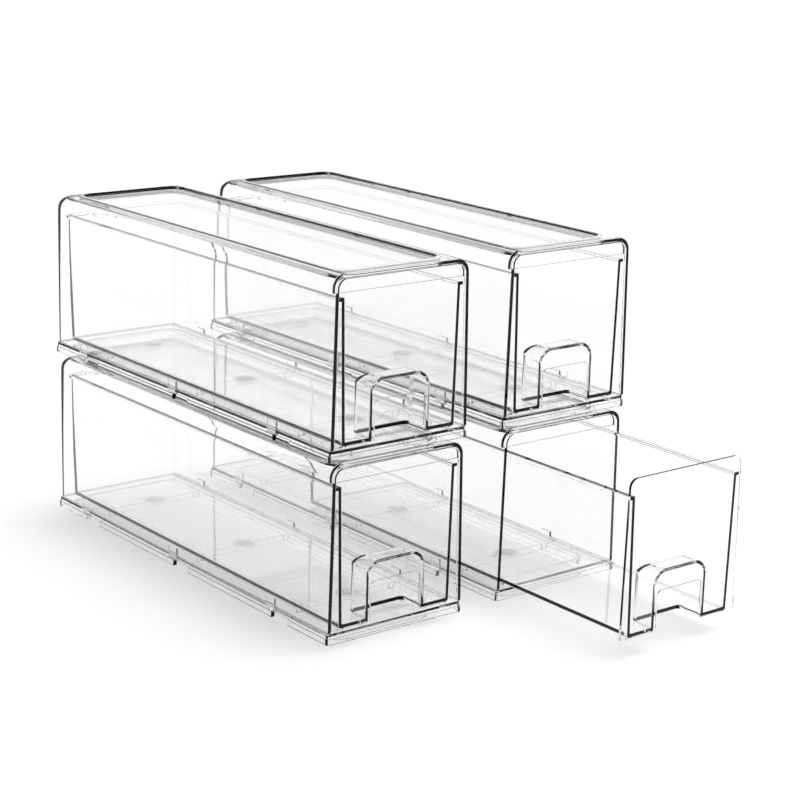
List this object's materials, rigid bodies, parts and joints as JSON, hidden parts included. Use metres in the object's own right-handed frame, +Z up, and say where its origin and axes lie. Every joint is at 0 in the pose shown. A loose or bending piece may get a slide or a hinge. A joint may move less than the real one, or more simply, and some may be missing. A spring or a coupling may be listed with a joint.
{
  "type": "stackable drawer box set",
  "caption": "Clear stacking drawer boxes in two stacks: each a shell clipped to a base, with a deep drawer that slides out by a finger pull moulded in its front.",
  "frame": {"origin": "under the middle of the whole footprint, the open drawer included, on the surface that the boxes stand on", "axes": "+Z up, +Y from the drawer fronts to the back, +X to the right as seen from the front"},
  "size_m": [0.249, 0.456, 0.2406],
  "materials": {
    "clear_shell": "clear, polished",
    "clear_base": "clear, polished",
    "clear_drawer": "clear, polished"
  },
  "bodies": {
    "left_lower_box": {"left_lower_base": "clear_base", "left_lower_shell": "clear_shell"},
    "left_lower_drawer": {"left_lower_drawer": "clear_drawer"},
    "left_upper_box": {"left_upper_base": "clear_base", "left_upper_shell": "clear_shell"},
    "left_upper_drawer": {"left_upper_drawer": "clear_drawer"},
    "right_lower_box": {"right_lower_base": "clear_base", "right_lower_shell": "clear_shell"},
    "right_lower_drawer": {"right_lower_drawer": "clear_drawer"},
    "right_upper_box": {"right_upper_base": "clear_base", "right_upper_shell": "clear_shell"},
    "right_upper_drawer": {"right_upper_drawer": "clear_drawer"}
  },
  "joints": [
    {"name": "left_lower_drawer_slide", "type": "slide", "parent": "left_lower_box", "child": "left_lower_drawer", "axis": [0, -1, 0], "range_m": [0, 0.336]},
    {"name": "left_upper_drawer_slide", "type": "slide", "parent": "left_upper_box", "child": "left_upper_drawer", "axis": [0, -1, 0], "range_m": [0, 0.336]},
    {"name": "right_lower_drawer_slide", "type": "slide", "parent": "right_lower_box", "child": "right_lower_drawer", "axis": [0, -1, 0], "range_m": [-0.115, 0.221]},
    {"name": "right_upper_drawer_slide", "type": "slide", "parent": "right_upper_box", "child": "right_upper_drawer", "axis": [0, -1, 0], "range_m": [0, 0.336]},
    {"name": "left_upper_lift", "type": "slide", "parent": "left_lower_box", "child": "left_upper_box", "axis": [0, 0, 1], "range_m": [0, 0.15]},
    {"name": "right_upper_lift", "type": "slide", "parent": "right_lower_box", "child": "right_upper_box", "axis": [0, 0, 1], "range_m": [0, 0.15]},
    {"name": "right_stack_shift", "type": "slide", "parent": "left_lower_box", "child": "right_lower_box", "axis": [1, 0, 0], "range_m": [-0.028, 0.1]}
  ]
}
